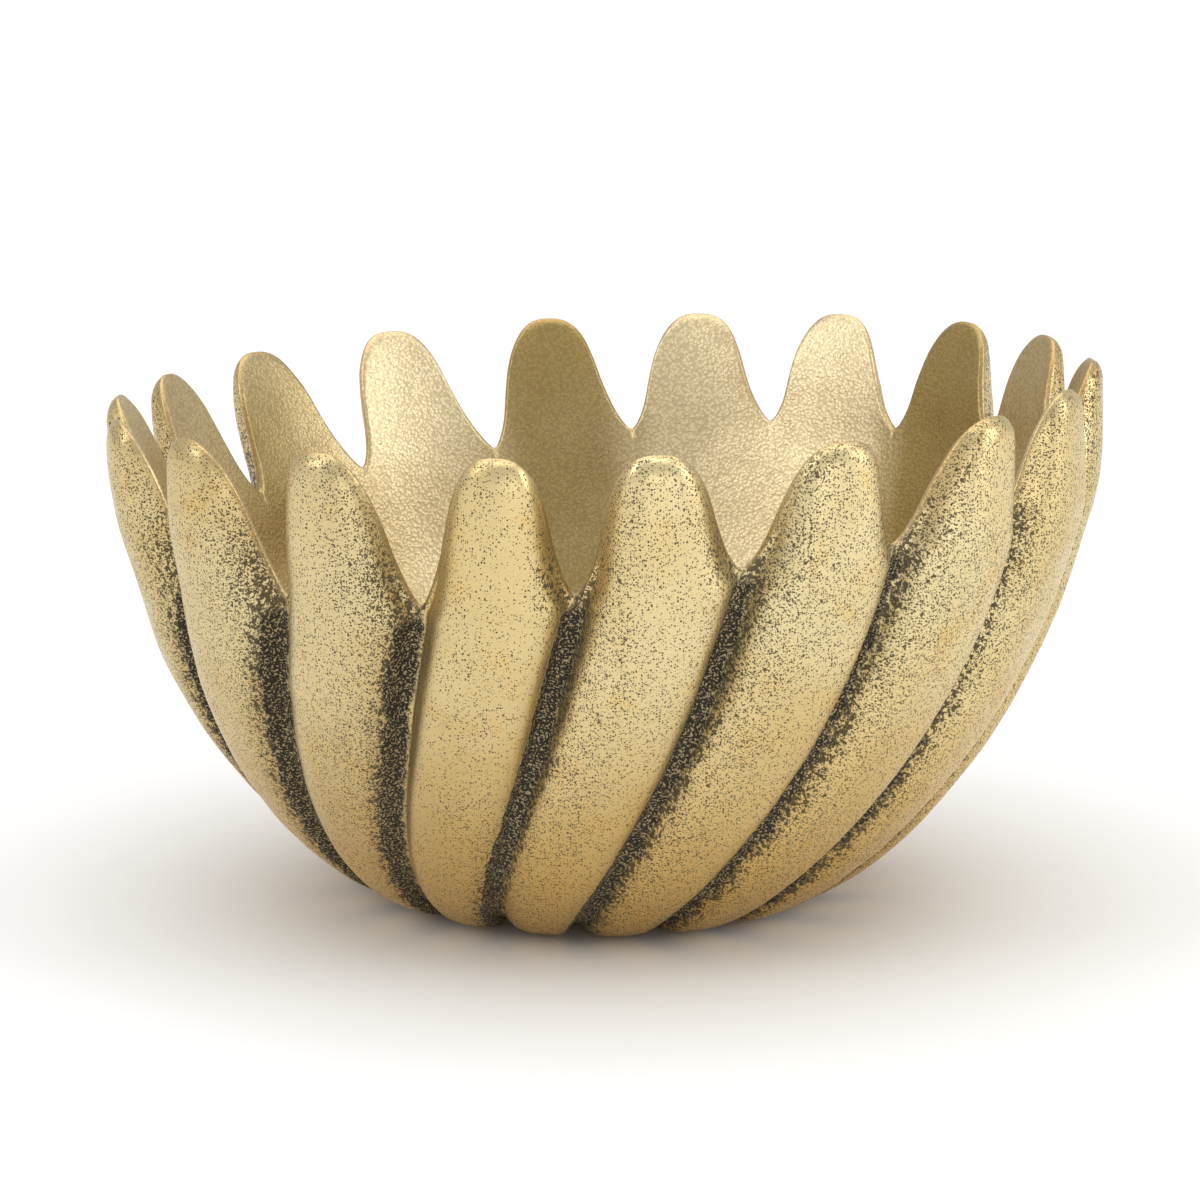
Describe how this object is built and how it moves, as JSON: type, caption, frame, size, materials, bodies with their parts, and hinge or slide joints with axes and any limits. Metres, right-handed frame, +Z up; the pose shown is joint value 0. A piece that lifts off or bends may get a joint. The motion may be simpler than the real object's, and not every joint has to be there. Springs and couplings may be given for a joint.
{
  "type": "decorative metal bowl",
  "caption": "Round cast bowl whose rounded petals swirl up from a flat foot and stand free as a scalloped rim; it rests on soft round pads and holds flowers, water or small things.",
  "frame": {"origin": "middle of the bowl on the floor, level with the undersides of the pads", "axes": "+Z up out of the bowl, -Y towards the viewer in front, +X to that viewer's right, where the rim stands highest"},
  "size_m": [0.2342, 0.2336, 0.1277],
  "materials": {
    "antique_brass": "satin antique brass, dark patina in the grooves and fine dark speckles on the crests",
    "pad": "matt"
  },
  "bodies": {
    "root": {"bowl_casting": "antique_brass", "foot_pad_1": "pad", "foot_pad_2": "pad", "foot_pad_3": "pad"}
  },
  "joints": []
}
